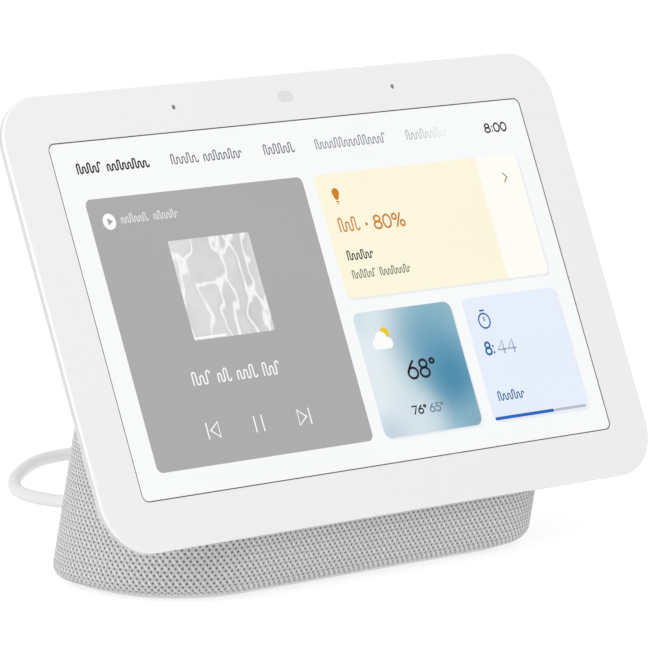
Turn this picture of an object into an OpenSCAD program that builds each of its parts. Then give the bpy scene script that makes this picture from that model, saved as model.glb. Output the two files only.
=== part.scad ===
/* [Display head] */
// Width of the display head
face_w = 178.5; // [174:0.5:184]
// Height of the face, measured along its slope
face_h = 109.3; // [106:0.1:112]
// Radius of the face's corners
face_r = 12.3; // [9:0.1:14]
// Angle by which the face leans back
face_tilt = 22.6; // [18:0.1:26]
// Height of the face's centre above the table
face_z = 66.8; // [65:0.1:69]
// Thickness of the cover glass
glass_t = 1.0; // [0.8:0.1:1.2]
// Depth of the rear cover behind the glass
pillow_h = 7.2; // [7:0.1:8]
// Distance over which the rear cover thins towards its edge
pillow_w = 30; // [26:1:32]
// Wall thickness of the rear cover
cover_wall = 1.2; // [1:0.1:1.4]
// Width of the lit screen
screen_w = 153.3; // [150:0.1:155]
// Height of the lit screen
screen_h = 86; // [84:0.1:87]

/* [Base] */
// Half of the base's width at the table
base_half_w = 66.2; // [62:0.1:70]
// Half of the base's depth
base_half_d = 29.5; // [28:0.1:31]
// Radius of the base's upright corners
base_r = 26.8; // [20:0.1:28]
// Forward lean of the base, per unit of height
base_lean = 0.224; // [0.18:0.002:0.26]
// Height of the fabric's lower edge
base_z = 1.3; // [1:0.1:2]
// Rounding of the base's lower edge
base_round = 3; // [2:0.1:4]
// Thickness of the knitted fabric
fabric_t = 1.1; // [0.8:0.1:1.4]
// Wall thickness of the base shell
shell_wall = 1.8; // [1.5:0.1:2.2]

/* [Controls] */
// Travel of the microphone switch to each side
mute_travel = 1.0; // [0.8:0.1:1.2]
// Length of the microphone switch's knob
mute_len = 9; // [8:0.5:10]
// Length of the volume rocker
rocker_len = 22; // [18:1:26]
// Greatest tilt of the volume rocker
rocker_tilt = 2.5; // [2:0.1:3]

/* [Speaker] */
// Diameter of the speaker's flange
driver_d = 43.5; // [40:0.5:46]
// Height of the speaker's centre
driver_z = 41; // [39:0.5:42]
// Travel of the cone to each side
cone_travel = 1.5; // [1:0.1:1.5]

/* [Cord] */
// Diameter of the power cord
cord_d = 3.3; // [3:0.1:3.6]
// Radius of the coil at the middle of its turns
coil_r = 18.5; // [17:0.5:20]
// Length of the mains adapter's housing
adapter_l = 52; // [48:1:56]
// Width of the mains adapter's housing
adapter_w = 42; // [40:1:46]
// Height of the mains adapter's housing
adapter_h = 27; // [25:1:30]

/* [Hidden] */
$fn = 48;
tiny = 0.01;
slice_t = 0.05;
base_taper = 0.016;
reach = 200;

// The origin is on the table, midway between the face's lower edge and the base's back.
half_depth = 33.2;
head_y = face_h / 2 * sin(face_tilt) - half_depth;
base_y = half_depth - base_half_d;
base_top = 112;

// Layers of the head, as depths behind the glass's front face
glass_round = 0.8;
gasket_t = 0.3;
panel_y = glass_t + gasket_t;
panel_t = 1.3;
light_y = panel_y + panel_t;
light_t = 1.9;
frame_y = light_y + light_t;
frame_t = 0.6;
cover_y = glass_t + pillow_h;
panel_w = screen_w + 4.3;
panel_h = screen_h + 5.6;
panel_r = 3;
light_r = 10;
neck_w = 66;
neck_h = 13;
neck_z = -38;

// Strip of small parts above the panel
strip_z = 48.9;
board_y = 1.4;
board_t = 0.6;
mic_x = 35.6;
mute_z = 48.6;
mute_floor = 4.7;

// Volume rocker beside the panel
rocker_x = 83;
rocker_w = 3.2;
rocker_z = 14;
rocker_axle_y = 2.9;
rocker_axle_r = 0.45;
rocker_pad = 8;

// Screws that hold the head to the base, in the head's frame
neck_bolts = [[-46, 16], [46, 16], [-46, -19], [46, -19]];
plate_bolts = [[-46, -14], [46, -14], [-46, 20], [46, 20]];
plate_z = base_z + 1.1;
plate_t = 1.8;

// Main board behind the neck, in the head's frame
main_y = cover_y + 4.3;
main_t = 1.2;
main_bolts = [[-37, 14], [37, 14], [-37, -22], [37, -22]];
main_z = -7;

// Speaker, in its own frame: +Z leaves through the back wall
wall_angle = atan(base_lean);
ring_t = 1.5;
flange_t = 1.2;
flange_z = -ring_t - flange_t;
plate_top = -10;
ear_r = 24;

// Power socket in the base's back wall
jack_z = 10.3;
jack_bore_r = 2;
jack_y = base_y + base_half_d - base_lean * (jack_z - base_z);
plug_r = 4.1;
bezel_d = 12;
plug_end = 45;
relief_end = 65;

// Coil, adapter and the cord's route on the table
coil_x = 62;
coil_y = 112;
coil_z = 0.8;
coil_band = 2 * cord_d;
coil_tall = 3 * cord_d;
adapter_x = 10;
adapter_y = 39;
adapter_exit_y = 60;
adapter_exit_z = 5;
adapter_relief_l = 18;
cord_route = [
    [0, 65, 10.3], [0, 71, 10.2], [0.6, 77, 9], [2, 83, 6.4], [3.6, 89, 3.6], [4.4, 95, 1.9],
    [4.2, 101, 1.65], [4.3, 107, 1.65], [6, 113, 1.65], [9.3, 119, 1.65], [13.5, 124.5, 1.65],
    [18.5, 130, 1.65], [24.3, 135.3, 1.65], [31, 140.8, 1.65], [38.3, 145.8, 1.65],
    [46.5, 149.2, 1.65], [55, 150, 1.65], [63.5, 148.4, 1.7], [71.5, 145, 1.9], [78, 140, 2.1],
    [83, 133.5, 2.3], [86, 126, 2.4], [86.6, 118.5, 2.45]
];
lead_route = [
    [86.5, 104.5, 9], [89.5, 98, 7.6], [92.5, 91, 4.6], [95, 84, 2.3],
    [96, 77, 1.65], [95, 70.5, 1.8], [91.5, 64.8, 2.8], [86, 61, 4.2], [80, 60, 5]
];

// Places children in the head's frame: X across, Y into the head, Z up the face
module head_frame()
    translate([0, head_y, face_z]) rotate([-face_tilt, 0, 0]) children();

// Places children in the speaker's frame
module speaker_frame()
    translate([0, base_y + base_half_d - fabric_t - shell_wall - base_lean * (driver_z - base_z),
               driver_z])
        rotate([-(90 - wall_angle), 0, 0]) children();

// Extrudes a flat outline between two depths of the head
module layer(y, t)
    translate([0, y + t, 0]) rotate([90, 0, 0]) linear_extrude(t) children();

// Rectangle with round corners, centred
module rounded(w, h, r) {
    square([w - 2 * r, h], center = true);
    square([w, h - 2 * r], center = true);
    for (sx = [-1, 1], sy = [-1, 1])
        translate([sx * (w / 2 - r), sy * (h / 2 - r)]) circle(r);
}

// Four round corner posts of height t, to be hulled into a rounded plate
module corners(w, h, r, t)
    for (sx = [-1, 1], sy = [-1, 1])
        translate([sx * (w / 2 - r), sy * (h / 2 - r), 0]) cylinder(r = r, h = t);

// Corner posts between two depths of the head
module head_corners(y, t, inset, r)
    translate([0, y + t, 0]) rotate([90, 0, 0])
        corners(face_w - 2 * inset, face_h - 2 * inset, r, t, $fn = 40);

// Slot with round ends along X, centred
module slot(l, w) {
    square([l - w, w], center = true);
    for (s = [-1, 1]) translate([s * (l - w) / 2, 0]) circle(w / 2);
}

// Screw along +Z with its head at the origin
module screw(head_d, head_t, shank_d, length) {
    difference() {
        cylinder(d = head_d, h = head_t);
        translate([0, 0, -tiny]) cylinder(d = head_d * 0.45, h = head_t * 0.6, $fn = 6);
    }
    translate([0, 0, head_t]) cylinder(d = shank_d, h = length);
}

// Outer form of the head, moved outwards by grow
module head_form(grow)
    hull() {
        head_corners(0, slice_t, -grow, face_r);
        for (a = [0 : 11.25 : 90])
            head_corners(glass_t + pillow_h * sin(a) + grow - slice_t, slice_t,
                         pillow_w * (1 - cos(a)) - grow, face_r);
    }

// Level slice of the base at height z, moved inwards by inset
module base_slice(z, inset) {
    foot = max(0, base_round - (z - base_z));
    in = inset + base_round - sqrt(base_round * base_round - foot * foot);
    translate([0, base_y - base_lean * (z - base_z), z])
        corners(2 * (base_half_w - in - base_taper * (z - base_z)), 2 * (base_half_d - in),
                base_r - in, slice_t);
}

// Form of the base from the table to above the head
module base_form(inset)
    hull() {
        for (a = [0 : 22.5 : 90]) base_slice(base_z + base_round * (1 - cos(a)), inset);
        base_slice(base_top, inset);
    }

// Space taken by the head, widened by grow, with all that lies before it
module head_space(grow)
    head_frame() {
        head_form(grow);
        translate([-reach / 2, -reach / 2, -face_h]) cube([reach, reach / 2, 2 * face_h]);
    }

// Outline of the base at the table, moved inwards by inset
module base_outline(inset)
    rounded(2 * (base_half_w - inset), 2 * (base_half_d - inset), base_r - inset);

// Tube of eight sides swept along a route
module tube(route, r) {
    n = len(route);
    sides = 8;
    function ahead(i) = route[min(i + 1, n - 1)] - route[max(i - 1, 0)];
    function ring(i) =
        let (t = ahead(i) / norm(ahead(i)), u = cross(t, [0, 0, 1]) / norm(cross(t, [0, 0, 1])),
             v = cross(u, t))
            [for (k = [0 : sides - 1])
                route[i] + r * (cos(360 * k / sides) * u + sin(360 * k / sides) * v)];
    polyhedron(
        points = [for (i = [0 : n - 1]) each ring(i)],
        faces = concat(
            [[for (k = [sides - 1 : -1 : 0]) k]],
            [[for (k = [0 : sides - 1]) (n - 1) * sides + k]],
            [for (i = [0 : n - 2], k = [0 : sides - 1])
                let (a = i * sides + k, b = i * sides + (k + 1) % sides) [a, b, b + sides]],
            [for (i = [0 : n - 2], k = [0 : sides - 1])
                let (a = i * sides + k, b = i * sides + (k + 1) % sides) [a, b + sides, a + sides]]
        )
    );
}

// ---- Display head ----

module cover_glass()
    color("whitesmoke") head_frame() difference() {
        union() {
            hull() for (a = [0 : 22.5 : 90])
                head_corners(glass_round * (1 - cos(a)), slice_t, glass_round * (1 - sin(a)),
                             face_r);
            layer(glass_round, glass_t - glass_round) rounded(face_w, face_h, face_r);
        }
        for (s = [-1, 1])
            translate([s * mic_x, -1, strip_z]) rotate([-90, 0, 0]) cylinder(d = 1.3, h = 3);
    }

module touch_sensor()
    color("lightgrey") head_frame() layer(glass_t, gasket_t)
        rounded(panel_w - 2, panel_h - 2.6, 1);

module panel_gasket()
    color("dimgray") head_frame() layer(glass_t, gasket_t) difference() {
        rounded(panel_w, panel_h, 1);
        square([panel_w - 1.8, panel_h - 2.4], center = true);
    }

module display_panel()
    color("black") head_frame() layer(panel_y, panel_t) rounded(panel_w, panel_h, panel_r);

module backlight_unit()
    color("silver") head_frame() {
        layer(light_y, light_t) difference() {
            rounded(panel_w, panel_h, light_r);
            square([140, 74], center = true);
        }
        layer(light_y, light_t - 0.2) square([140, 74], center = true);
    }

module mid_frame()
    color("lightsteelblue") head_frame() difference() {
        union() {
            layer(frame_y, frame_t) rounded(142, 80, 3);
            for (p = neck_bolts) layer(frame_y + frame_t, cover_y - cover_wall - frame_y - frame_t)
                translate(p) circle(d = 6);
        }
        layer(frame_y - 1, 9) translate([0, neck_z + 1]) square([40, 5], center = true);
        for (p = neck_bolts) layer(frame_y - 1, 9) translate(p) circle(d = 2.2);
    }

module rear_cover()
    color("whitesmoke") head_frame() difference() {
        union() {
            difference() {
                head_form(0);
                head_form(-cover_wall);
                translate([-reach / 2, glass_t - reach, -reach / 2]) cube(reach);
            }
            // thicker wall behind the microphone switch
            layer(mute_floor - 0.95, 0.95) translate([0, mute_z]) slot(21, 5);
        }
        // pocket for the slider's flange, hollow for the finger, and slot for the knob
        layer(2.4, 1.35) translate([0, mute_z]) rounded(17.4, 4.8, 1);
        layer(mute_floor, 5) translate([0, mute_z]) slot(mute_len + 2 * mute_travel + 3, 4.6);
        layer(3, 5) translate([0, mute_z]) slot(mute_len + 2 * mute_travel + 0.6, 3);
        layer(2.6, 9) translate([rocker_x, rocker_z]) rotate(90)
            slot(rocker_len + 0.8, rocker_w + 0.7);
        layer(2.4, 1.6) translate([85.7, rocker_z]) square([1.6, 3], center = true);
        layer(cover_y - 4, 9) translate([0, neck_z]) square([neck_w, neck_h], center = true);
        for (p = neck_bolts) layer(cover_y - 4, 9) translate(p) circle(d = 2.6);
    }

module sensor_board()
    color("darkgreen") head_frame() difference() {
        layer(board_y, board_t) translate([0, strip_z]) rounded(124, 4, 0.8);
        for (s = [-1, 1]) layer(board_y - 1, 3) translate([s * mic_x, strip_z]) circle(d = 1);
    }

module microphone(side)
    head_frame() difference() {
        layer(board_y + board_t, 0.9) translate([side * mic_x, strip_z])
            rounded(3.5, 2.6, 0.3);
        layer(board_y + board_t - 1, 1.3) translate([side * mic_x, strip_z]) circle(d = 0.8);
    }

module mic_left() color("gold") microphone(-1);

module mic_right() color("gold") microphone(1);

module mic_seals()
    color("black") head_frame() for (s = [-1, 1])
        layer(glass_t, board_y - glass_t) translate([s * mic_x, strip_z]) difference() {
            circle(d = 3.6);
            circle(d = 1.4);
        }

module light_sensor()
    color("gainsboro") head_frame()
        layer(glass_t, board_y - glass_t) translate([0, strip_z]) rounded(4.5, 2.3, 0.7);

module wifi_antennas()
    color("orange") head_frame() for (s = [-1, 1])
        layer(board_y, 0.3) translate([s * 70, strip_z]) square([14, 4], center = true);

module mute_slider()
    color("whitesmoke") head_frame() translate([0, 0, mute_z]) {
        // captive flange behind the slot
        layer(3.05, 0.6) rounded(14.4, 4.2, 0.8);
        layer(3.6, 1.6) slot(mute_len, 2.6);
        // grip ribs
        for (x = [-2.4 : 1.2 : 2.4]) translate([x - 0.25, 5.1, -0.9]) cube([0.5, 0.35, 1.8]);
    }

module switch_lever()
    color("black") head_frame() translate([-0.6, 2.3, mute_z - 0.6]) cube([1.2, 0.75, 1.2]);

module mute_switch()
    color("silver") head_frame() difference() {
        layer(board_y + board_t, 1) translate([0, mute_z]) rounded(8, 2.8, 0.3);
        layer(board_y + board_t + 0.25, 2) translate([0, mute_z]) square([3.8, 1.5], center = true);
    }

module volume_rocker()
    color("whitesmoke") head_frame() translate([rocker_x, 0, rocker_z]) {
        layer(3.1, 1.8) rotate(90) slot(rocker_len, rocker_w);
        layer(4.9, 0.35) rotate(90) slot(rocker_len - 1, rocker_w - 1);
        // hub and axle
        translate([-0.9, rocker_axle_y - 0.75, -1]) cube([1.8, 1.2, 2]);
        translate([-2.9, rocker_axle_y, 0]) rotate([0, 90, 0])
            cylinder(r = rocker_axle_r, h = 5.6);
        for (s = [-1, 1]) translate([-0.7, 2.9, s * rocker_pad - 0.7]) cube([1.4, 0.4, 1.4]);
    }

module rocker_bracket()
    color("silver") head_frame() translate([rocker_x, 0, rocker_z]) difference() {
        union() {
            translate([-2.9, 1.05, -12]) cube([5.4, 0.3, 24]);
            for (x = [-2.9, 2.1]) translate([x, 1.05, -1.1]) cube([0.6, 2.7, 2.2]);
        }
        translate([-4, rocker_axle_y, 0]) rotate([0, 90, 0])
            cylinder(r = rocker_axle_r + 0.05, h = 8);
    }

module button_board()
    color("darkgreen") head_frame()
        translate([rocker_x - 2.2, 1.35, rocker_z - 11.5]) cube([4.2, 0.4, 23]);

module tact_switches()
    color("silver") head_frame() for (s = [-1, 1])
        translate([rocker_x, 0, rocker_z + s * rocker_pad]) {
            translate([-1.4, 1.75, -1.5]) cube([2.8, 0.45, 3]);
            translate([0, 2.2, 0]) rotate([-90, 0, 0]) cylinder(d = 1.5, h = 0.2);
        }

module display_flex()
    color("orange") head_frame() translate([-12, 0, 0]) rotate([90, 0, 90])
        linear_extrude(24) polygon([
            [frame_y + 0.05, -37.4], [11.5, -37.4], [14.1, -33], [14.1, -28.2], [13.8, -28.2],
            [13.8, -32.9], [11.3, -37.1], [frame_y + 0.05, -37.1]
        ]);

// ---- Base ----

module fabric_sleeve()
    color("lightgrey") difference() {
        base_form(0);
        base_form(fabric_t);
        head_space(0);
        translate([0, jack_y, jack_z]) rotate([90, 0, 0])
            cylinder(d = bezel_d + 0.2, h = 12, center = true);
    }

// Rib from the post at p out to the middle of the shell's wall
module plate_rib(p) {
    rib_h = 6;
    lean = base_lean * (plate_z + plate_t + rib_h / 2 - base_z);
    corner = [sign(p.x) * (base_half_w - base_r),
              base_y - lean + sign(p.y - base_y) * (base_half_d - base_r)];
    out = p - corner;
    rotate(atan2(out.y, out.x)) translate([2, -0.8, 0])
        cube([base_r - fabric_t - shell_wall / 2 - norm(out) - 2, 1.6, rib_h]);
}

module base_shell()
    color("white") {
        difference() {
            base_form(fabric_t);
            difference() {
                base_form(fabric_t + shell_wall);
                head_space(2);
            }
            head_space(0);
            translate([-reach / 2, -reach / 2, -reach + base_z + 0.5]) cube(reach);
            translate([0, jack_y, jack_z]) rotate([90, 0, 0])
                cylinder(d = bezel_d + 0.2, h = 12, center = true);
            head_frame() {
                layer(cover_y - 1, 9) translate([0, neck_z])
                    square([neck_w, neck_h], center = true);
                for (p = neck_bolts) layer(cover_y - 1, 9) translate(p) circle(d = 2.6);
            }
            // sound holes in rings behind the cone
            speaker_frame() for (ring = [0 : 3], k = [0 : max(1, ring * 6) - 1])
                rotate(60 * k / max(1, ring)) translate([ring * 4.6, 0, -1])
                    cylinder(d = 2.4, h = 4);
        }
        // posts for the main board
        head_frame() for (p = main_bolts)
            layer(cover_y + 1.5, main_y - cover_y - 1.5) translate(p) difference() {
                circle(d = 5);
                circle(d = 1.8);
            }
        // posts for the base plate, each with a rib to the wall
        for (p = plate_bolts) translate([p.x, p.y, plate_z + plate_t]) difference() {
            union() {
                cylinder(d = 6, h = 9);
                plate_rib(p);
            }
            translate([0, 0, -1]) cylinder(d = 2.2, h = 8);
        }
        // posts for the speaker
        speaker_frame() for (a = [45 : 90 : 315])
            rotate(a) translate([ear_r, 0, -ring_t]) difference() {
                cylinder(d = 5, h = ring_t + 0.6);
                translate([0, 0, -1]) cylinder(d = 2, h = ring_t + 1);
            }
    }

module base_plate()
    color("gainsboro") difference() {
        translate([0, base_y, plate_z]) linear_extrude(plate_t) base_outline(4.3);
        for (p = plate_bolts) {
            translate([p.x, p.y, plate_z - 1]) cylinder(d = 2.6, h = 5);
            translate([p.x, p.y, plate_z - tiny]) cylinder(d = 4.8, h = 1.1);
        }
    }

module rubber_foot()
    color("dimgray") {
        translate([0, base_y, 0]) linear_extrude(base_z - 0.1) base_outline(6);
        translate([0, base_y, base_z - 0.1]) linear_extrude(plate_z - base_z + 0.1)
            base_outline(7.5);
    }

module ballast_plate()
    color("slategray")
        translate([0, -4, plate_z + plate_t]) linear_extrude(4.8) rounded(76, 32, 4);

module base_screws()
    color("silver") for (p = plate_bolts)
        translate([p.x, p.y, plate_z]) screw(4.4, 1, 2.2, 6.5);

module neck_screws()
    color("silver") head_frame() for (p = neck_bolts)
        translate([p.x, cover_y + 3.3, p.y]) rotate([90, 0, 0]) screw(4, 1.3, 2.2, 5.2);

module main_board()
    color("darkgreen") head_frame() difference() {
        layer(main_y, main_t) translate([0, main_z]) rounded(84, 46, 2);
        for (p = main_bolts) layer(main_y - 1, 4) translate(p) circle(d = 2.2);
    }

module board_shield()
    color("silver") head_frame() layer(main_y + main_t, 2.4)
        translate([-12, main_z + 9]) rounded(34, 26, 1);

module heat_spreader()
    color("lightsteelblue") head_frame() {
        layer(main_y + main_t + 2.4, 0.8) translate([-10, main_z + 9]) rounded(44, 28, 2);
        for (k = [-3 : 3]) layer(main_y + main_t + 3.2, 0.8)
            translate([-10 + 6 * k, main_z + 9]) square([1, 26], center = true);
    }

module board_screws()
    color("silver") head_frame() for (p = main_bolts)
        translate([p.x, main_y + main_t + 1, p.y]) rotate([90, 0, 0]) screw(3.4, 1, 1.8, 3);

module board_connectors()
    color("ivory") head_frame() {
        layer(main_y + main_t + 0.1, 1.5) translate([0, -26.6]) square([26, 3], center = true);
        for (x = [16, 30]) layer(main_y + main_t, 3) translate([x, -20])
            square([8, 4.5], center = true);
    }

module dc_jack()
    color("black") difference() {
        union() {
            translate([-4.5, 16, jack_z - 4.6]) cube([9, 11.8, 9.2]);
            translate([0, 27.8, jack_z]) rotate([-90, 0, 0]) cylinder(d = 8, h = 1.2);
        }
        translate([0, 19, jack_z]) rotate([-90, 0, 0]) cylinder(r = jack_bore_r, h = 12);
    }

module jack_bezel()
    color("white") translate([0, jack_y - 3.1, jack_z]) rotate([-90, 0, 0]) difference() {
        cylinder(d = bezel_d, h = 3.1);
        translate([0, 0, -1]) cylinder(r = plug_r + 0.3, h = 6);
    }

module wire_harness()
    color("crimson") {
        for (x = [-2, 2])
            tube([[x, 15.9, jack_z], [x, 11, 11.5], [x, 5, 17], [x + 3, 1.5, 25],
                  [x + 9, -0.3, 33], [x + 14.5, 0.2, 38.4], [x + 16, -1.9, 40.8],
                  [x + 16, -4.43, 41.9]], 0.7);
        for (x = [-1, 1])
            tube([[20 + x, 17.6, 39.5], [24 + x, 12, 41], [28 + x, 6, 42.2], [29.6 + x, 1.2, 41],
                  [30 + x, -1.9, 40.8], [30 + x, -4.43, 41.9]], 0.5);
    }

// ---- Speaker ----

module speaker_gasket()
    color("black") speaker_frame() translate([0, 0, -ring_t]) difference() {
        cylinder(d = driver_d - 0.6, h = ring_t);
        translate([0, 0, -1]) cylinder(d = driver_d - 4.5, h = 5);
    }

module speaker_basket()
    color("darkslategray") speaker_frame() difference() {
        union() {
            translate([0, 0, flange_z]) cylinder(d = driver_d, h = flange_t);
            for (a = [45 : 90 : 315]) rotate(a) translate([ear_r, 0, flange_z])
                cylinder(d = 6, h = flange_t);
            rotate_extrude() polygon([
                [18, flange_z + 0.5], [19.2, flange_z + 0.5], [14.6, plate_top + 0.6], [13.5, plate_top - 1],
                [7, plate_top - 1], [7, plate_top], [13.3, plate_top]
            ]);
        }
        translate([0, 0, flange_z - 1]) cylinder(r = 18, h = 4);
        for (a = [45 : 90 : 315]) rotate(a) translate([ear_r, 0, flange_z - 1])
            cylinder(d = 2.4, h = 4);
    }

module speaker_magnet()
    color("dimgray") speaker_frame() translate([0, 0, plate_top - 6]) difference() {
        cylinder(d = 27, h = 5);
        translate([0, 0, -1]) cylinder(d = 15, h = 7);
    }

module speaker_yoke()
    color("silver") speaker_frame() {
        translate([0, 0, plate_top - 8]) cylinder(d = 27, h = 2);
        translate([0, 0, plate_top - 6]) cylinder(d = 11.2, h = 6.4);
    }

module speaker_cone()
    color("gray") speaker_frame() rotate_extrude()
        polygon([[6.4, -6.9], [14.9, -2.6], [14.9, -2.1], [6.4, -6.4]]);

module dust_cap()
    color("black") speaker_frame() rotate_extrude() difference() {
        translate([0, -10.9]) circle(r = 7.8, $fn = 64);
        translate([0, -10.9]) circle(r = 7.4, $fn = 64);
        translate([-10, -26.4]) square([20, 20]);
        translate([-20, -20]) square([20, 40]);
    }

module voice_coil()
    color("peru") speaker_frame() translate([0, 0, -14]) difference() {
        cylinder(d = 12.8, h = 7.6);
        translate([0, 0, -1]) cylinder(d = 12, h = 10);
    }

module speaker_surround()
    color("black") speaker_frame() rotate_extrude()
        translate([16.45, -2.5]) difference() {
            circle(r = 1.5, $fn = 24);
            circle(r = 1.1, $fn = 24);
            translate([-3, -6]) square([6, 6]);
        }

module speaker_spider()
    color("khaki") speaker_frame() rotate_extrude()
        polygon([[6.45, -8.2], [8.2, -8.2], [9, -7.8], [10, -8.4], [11, -7.8], [12, -8.4], [13.7, -8.4],
                 [13.7, -8.1], [12.1, -8.1], [11, -7.5], [10, -8.1], [9, -7.5], [8.1, -7.9],
                 [6.45, -7.9]]);

module speaker_screws()
    color("silver") speaker_frame() for (a = [45 : 90 : 315])
        rotate(a) translate([ear_r, 0, flange_z - 1.3]) screw(4, 1.3, 2, 2.7);

// ---- Power cord ----

module dc_plug()
    color("whitesmoke") translate([0, 0, jack_z]) rotate([-90, 0, 0]) {
        // barrel in the socket
        translate([0, 0, 20.5]) difference() {
            cylinder(r = jack_bore_r - 0.1, h = 10);
            translate([0, 0, -1]) cylinder(r = 0.7, h = 9);
        }
        translate([0, 0, 30]) cylinder(r = plug_r, h = plug_end - 31);
        translate([0, 0, plug_end - 1]) cylinder(r1 = plug_r, r2 = 3.3, h = 1);
    }

module plug_relief()
    color("whitesmoke") translate([0, 0, jack_z]) rotate([-90, 0, 0]) {
        translate([0, 0, plug_end])
            cylinder(r1 = 3.3, r2 = cord_d / 2 + 0.3, h = relief_end - plug_end);
    }

module power_cord() color("white") tube(cord_route, cord_d / 2);

module cord_coil()
    color("white") translate([coil_x, coil_y, coil_z]) rotate_extrude()
        translate([coil_r - coil_band, 0]) square([2 * coil_band, coil_tall]);

module cord_tie()
    color("gray") translate([coil_x - coil_r, coil_y, 0]) difference() {
        translate([-coil_band - 1.2, -3, 0])
            cube([2 * coil_band + 2.4, 6, coil_tall + 2 * coil_z]);
        translate([-coil_band - 0.4, -4, coil_z])
            cube([2 * coil_band + 0.8, 8, coil_tall]);
    }

module adapter_lead() color("white") tube(lead_route, cord_d / 2);

module adapter_relief()
    color("whitesmoke")
        translate([adapter_x + adapter_l, adapter_exit_y, adapter_exit_z]) rotate([0, 90, 0])
            cylinder(r1 = 3.3, r2 = cord_d / 2 + 0.3, h = adapter_relief_l);

module adapter_housing()
    color("whitesmoke")
        translate([adapter_x + adapter_l / 2, adapter_y + adapter_w / 2, 0]) hull() {
            corners(adapter_l - 4, adapter_w - 4, 6, slice_t);
            translate([0, 0, 0.6]) corners(adapter_l - 1.2, adapter_w - 1.2, 7.2, slice_t);
            translate([0, 0, 2]) corners(adapter_l, adapter_w, 7.6, adapter_h - 3);
            translate([0, 0, adapter_h - slice_t])
                corners(adapter_l - 2, adapter_w - 2, 6.8, slice_t);
        }

module adapter_blades()
    color("silver") for (s = [-1, 1])
        translate([adapter_x + adapter_l / 2 + s * 6.35 - 0.75, adapter_y + adapter_w / 2 - 3.2,
                   adapter_h]) difference() {
            cube([1.5, 6.4, 16.5]);
            translate([-1, 3.2, 12.5]) rotate([0, 90, 0]) cylinder(d = 3, h = 4);
        }

cover_glass();
touch_sensor();
panel_gasket();
display_panel();
backlight_unit();
mid_frame();
rear_cover();
sensor_board();
mic_left();
mic_right();
mic_seals();
light_sensor();
wifi_antennas();
mute_slider();
switch_lever();
mute_switch();
volume_rocker();
rocker_bracket();
button_board();
tact_switches();
display_flex();
fabric_sleeve();
base_shell();
base_plate();
rubber_foot();
ballast_plate();
base_screws();
neck_screws();
main_board();
board_shield();
heat_spreader();
board_screws();
board_connectors();
dc_jack();
jack_bezel();
wire_harness();
speaker_gasket();
speaker_basket();
speaker_magnet();
speaker_yoke();
speaker_cone();
dust_cap();
voice_coil();
speaker_surround();
speaker_spider();
speaker_screws();
dc_plug();
plug_relief();
power_cord();
cord_coil();
cord_tie();
adapter_lead();
adapter_relief();
adapter_housing();
adapter_blades();
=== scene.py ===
from math import atan, cos, dist, pi, radians, sin

import bmesh
import bpy
import numpy as np
from mathutils import Matrix, Vector


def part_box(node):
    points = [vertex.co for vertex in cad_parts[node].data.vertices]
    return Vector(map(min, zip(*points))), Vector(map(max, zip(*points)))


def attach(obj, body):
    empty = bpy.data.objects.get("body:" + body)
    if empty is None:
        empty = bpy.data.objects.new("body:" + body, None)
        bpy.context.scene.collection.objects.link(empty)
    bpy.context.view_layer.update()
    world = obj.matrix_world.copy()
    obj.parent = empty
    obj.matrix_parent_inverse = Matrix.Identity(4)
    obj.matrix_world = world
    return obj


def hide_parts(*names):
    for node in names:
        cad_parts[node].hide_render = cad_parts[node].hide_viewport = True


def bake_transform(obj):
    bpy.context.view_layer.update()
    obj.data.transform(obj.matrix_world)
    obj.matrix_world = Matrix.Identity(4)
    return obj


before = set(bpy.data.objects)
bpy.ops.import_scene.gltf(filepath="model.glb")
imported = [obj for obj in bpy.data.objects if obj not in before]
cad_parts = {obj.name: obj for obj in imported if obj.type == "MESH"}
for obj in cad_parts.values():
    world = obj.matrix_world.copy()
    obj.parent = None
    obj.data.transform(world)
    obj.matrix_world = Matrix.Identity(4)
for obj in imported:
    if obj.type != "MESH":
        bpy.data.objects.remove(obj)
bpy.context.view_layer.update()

# Every size below is in millimetres, and MM turns it into Blender's metres.
MM = 0.001


def size_of(node):
    """Width, depth and height of a CAD node, and its lowest corner, in millimetres."""
    low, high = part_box(node)
    return (high - low) / MM, low / MM


# ---- Driving sizes, the same as the CAD model's ----

FACE_W = round(size_of("cover_glass")[0].x, 1)
FACE_H = 109.3
FACE_R = 12.3
TILT = radians(22.6)
HEAD_Y = FACE_H / 2 * sin(TILT) - 33.2
HEAD_Z = 66.8
GLASS_T = 1.0
PILLOW_H = 7.2
PILLOW_W = 30
COVER_WALL = 1.2
SCREEN_W = 153.4
SCREEN_H = 86.0
SCREEN_R = 1.9

BASE_HALF_W = 66.2
BASE_HALF_D = 29.5
BASE_R = 26.8
BASE_LEAN = 0.224
BASE_TAPER = 0.016
BASE_Y = 3.7
BASE_Z = 1.3
BASE_ROUND = 3
FABRIC_T = 1.1
SHELL_WALL = 1.8

JACK_Z = 10.3
JACK_Y = BASE_Y + BASE_HALF_D - BASE_LEAN * (JACK_Z - BASE_Z)
CORD_D = 3.3
COIL_AT = Vector((62, 112, 0))
COIL_RADII = [23.45, 20.15, 16.85, 13.55]
COIL_HEIGHTS = [2.45, 5.75, 9.05]

HEAD = Matrix.Translation((0, HEAD_Y * MM, HEAD_Z * MM)) @ Matrix.Rotation(-TILT, 4, "X")


# ---- Materials ----

# Between these values lies most of a noise
NOISE_RANGE = (0.3, 0.7)


def linear(red, green, blue):
    """A screen colour from 0 to 255 as the linear colour that Blender takes."""
    def channel(c):
        c = c / 255
        return c / 12.92 if c <= 0.04045 else ((c + 0.055) / 1.055) ** 2.4
    return channel(red), channel(green), channel(blue)


def tinted(color, factor):
    return tuple(min(1.0, c * factor) for c in color)


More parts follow.
